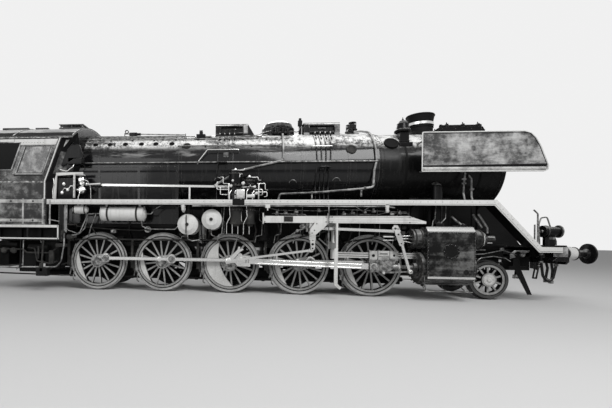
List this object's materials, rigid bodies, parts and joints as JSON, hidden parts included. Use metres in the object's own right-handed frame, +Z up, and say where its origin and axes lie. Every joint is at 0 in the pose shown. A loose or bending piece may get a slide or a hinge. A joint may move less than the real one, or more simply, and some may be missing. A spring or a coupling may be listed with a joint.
{
  "type": "ten-coupled steam locomotive",
  "caption": "Black tender engine with one leading truck, coupled driving wheels, outside cylinders and open valve gear, smoke deflectors and an enclosed-side cab; shown without its tender.",
  "frame": {"origin": "on the floor under the middle of the length and width, at the wheel flanges' lowest points", "axes": "+X forward, towards the buffers; +Y to the engine's left; +Z up"},
  "size_m": [14.114, 3, 4.483],
  "materials": {
    "black_paint": "satin, weathered",
    "light_paint": "matt, flaking",
    "bright_steel": "machined, oiled",
    "tyre_steel": "worn tread",
    "dull_iron": "sooty, matt",
    "cab_glass": "clear",
    "seat_wood": "worn",
    "lamp_paint": "satin"
  },
  "bodies": {
    "engine": {"air_reservoirs": "light_paint", "ashpan": "dull_iron", "axle_boxes": "dull_iron", "backhead": "dull_iron", "boiler_barrel": "black_paint", "boiler_mountings": "black_paint", "brake_gear": "dull_iron", "buffer_beam": "black_paint", "buffers": "black_paint", "cab_floor": "black_paint", "cab_front": "black_paint", "cab_glass": "cab_glass", "cab_roof": "black_paint", "cab_seats": "seat_wood", "cab_sides": "black_paint", "cab_supports": "black_paint", "chimney": "dull_iron", "cylinders": "black_paint", "feed_pump": "black_paint", "firebox": "black_paint", "frame_bars": "black_paint", "frame_stretchers": "black_paint", "guide_bars": "bright_steel", "handrails": "black_paint", "lamps": "lamp_paint", "leaf_springs": "dull_iron", "motion_frame": "black_paint", "preheater_box": "black_paint", "rail_guards": "black_paint", "running_boards": "black_paint", "sandboxes": "black_paint", "smoke_deflectors": "light_paint", "smokebox": "dull_iron", "smokebox_saddle": "dull_iron", "steam_dome": "black_paint", "steam_pipes": "black_paint", "valve_gear": "bright_steel"},
    "wheelset_1": {"wheels_1": "black_paint", "tyres_1": "tyre_steel"},
    "wheelset_2": {"wheels_2": "black_paint", "tyres_2": "tyre_steel"},
    "wheelset_3": {"wheels_3": "black_paint", "tyres_3": "tyre_steel"},
    "wheelset_4": {"wheels_4": "black_paint", "tyres_4": "tyre_steel"},
    "wheelset_5": {"wheels_5": "black_paint", "tyres_5": "tyre_steel"},
    "leading_wheelset": {"leading_wheels": "black_paint", "leading_tyres": "tyre_steel"},
    "truck": {"truck_frame": "black_paint"},
    "side_rods_right": {"side_rods_right": "bright_steel"},
    "crosshead_right": {"crosshead_right": "bright_steel"},
    "main_rod_right": {"main_rod_right": "bright_steel"},
    "cab_door_right": {"cab_door_right": "black_paint"},
    "side_rods_left": {"side_rods_left": "bright_steel"},
    "crosshead_left": {"crosshead_left": "bright_steel"},
    "main_rod_left": {"main_rod_left": "bright_steel"},
    "cab_door_left": {"cab_door_left": "black_paint"},
    "smokebox_door": {"smokebox_door": "dull_iron"}
  },
  "joints": [
    {"name": "driving_turn", "type": "hinge", "parent": "engine", "child": "wheelset_3", "pos_m": [-0.877, 0, 0.728], "axis": [0, 1, 0], "continuous": true},
    {"name": "wheel_turn_1", "type": "hinge", "parent": "engine", "child": "wheelset_1", "pos_m": [2.423, 0, 0.728], "axis": [0, 1, 0], "continuous": true},
    {"name": "wheel_turn_2", "type": "hinge", "parent": "engine", "child": "wheelset_2", "pos_m": [0.773, 0, 0.728], "axis": [0, 1, 0], "continuous": true},
    {"name": "wheel_turn_4", "type": "hinge", "parent": "engine", "child": "wheelset_4", "pos_m": [-2.527, 0, 0.728], "axis": [0, 1, 0], "continuous": true},
    {"name": "wheel_turn_5", "type": "hinge", "parent": "engine", "child": "wheelset_5", "pos_m": [-4.177, 0, 0.728], "axis": [0, 1, 0], "continuous": true},
    {"name": "side_rods_right_level", "type": "hinge", "parent": "wheelset_3", "child": "side_rods_right", "pos_m": [-0.62931, -0.925, 0.80705], "axis": [0, 1, 0], "continuous": true},
    {"name": "crosshead_right_slide", "type": "slide", "parent": "engine", "child": "crosshead_right", "axis": [1, 0, 0], "range_m": [-0.5066, 0.0132]},
    {"name": "main_rod_right_swing", "type": "hinge", "parent": "crosshead_right", "child": "main_rod_right", "pos_m": [2.374, -1.085, 0.728], "axis": [0, 1, 0], "range_deg": [-6.46, 3.45]},
    {"name": "side_rods_left_level", "type": "hinge", "parent": "wheelset_3", "child": "side_rods_left", "pos_m": [-0.95605, 0.925, 0.97569], "axis": [0, 1, 0], "continuous": true},
    {"name": "crosshead_left_slide", "type": "slide", "parent": "engine", "child": "crosshead_left", "axis": [1, 0, 0], "range_m": [-0.1706, 0.3492]},
    {"name": "main_rod_left_swing", "type": "hinge", "parent": "crosshead_left", "child": "main_rod_left", "pos_m": [2.03807, 1.085, 0.728], "axis": [0, 1, 0], "range_deg": [-9.68, 0.23]},
    {"name": "truck_swing", "type": "hinge", "parent": "engine", "child": "truck", "pos_m": [3.123, 0, 0.508], "axis": [0, 0, 1], "range_deg": [-3, 3]},
    {"name": "leading_turn", "type": "hinge", "parent": "truck", "child": "leading_wheelset", "pos_m": [5.023, 0, 0.453], "axis": [0, 1, 0], "continuous": true},
    {"name": "smokebox_door_hinge", "type": "hinge", "parent": "engine", "child": "smokebox_door", "pos_m": [5.361, 0.8, 3.078], "axis": [0, 0, 1], "range_deg": [0, 100]},
    {"name": "cab_door_right_hinge", "type": "hinge", "parent": "engine", "child": "cab_door_right", "pos_m": [-6.497, -1.446, 2.198], "axis": [0, 0, -1], "range_deg": [0, 85]},
    {"name": "cab_door_left_hinge", "type": "hinge", "parent": "engine", "child": "cab_door_left", "pos_m": [-6.497, 1.446, 2.198], "axis": [0, 0, 1], "range_deg": [0, 85]}
  ],
  "couplings": [
    {"joint": "wheel_turn_1", "follows": "driving_turn", "ratio": 1},
    {"joint": "wheel_turn_2", "follows": "driving_turn", "ratio": 1},
    {"joint": "wheel_turn_4", "follows": "driving_turn", "ratio": 1},
    {"joint": "wheel_turn_5", "follows": "driving_turn", "ratio": 1},
    {"joint": "side_rods_right_level", "follows": "driving_turn", "ratio": -1},
    {"joint": "side_rods_left_level", "follows": "driving_turn", "ratio": -1}
  ]
}
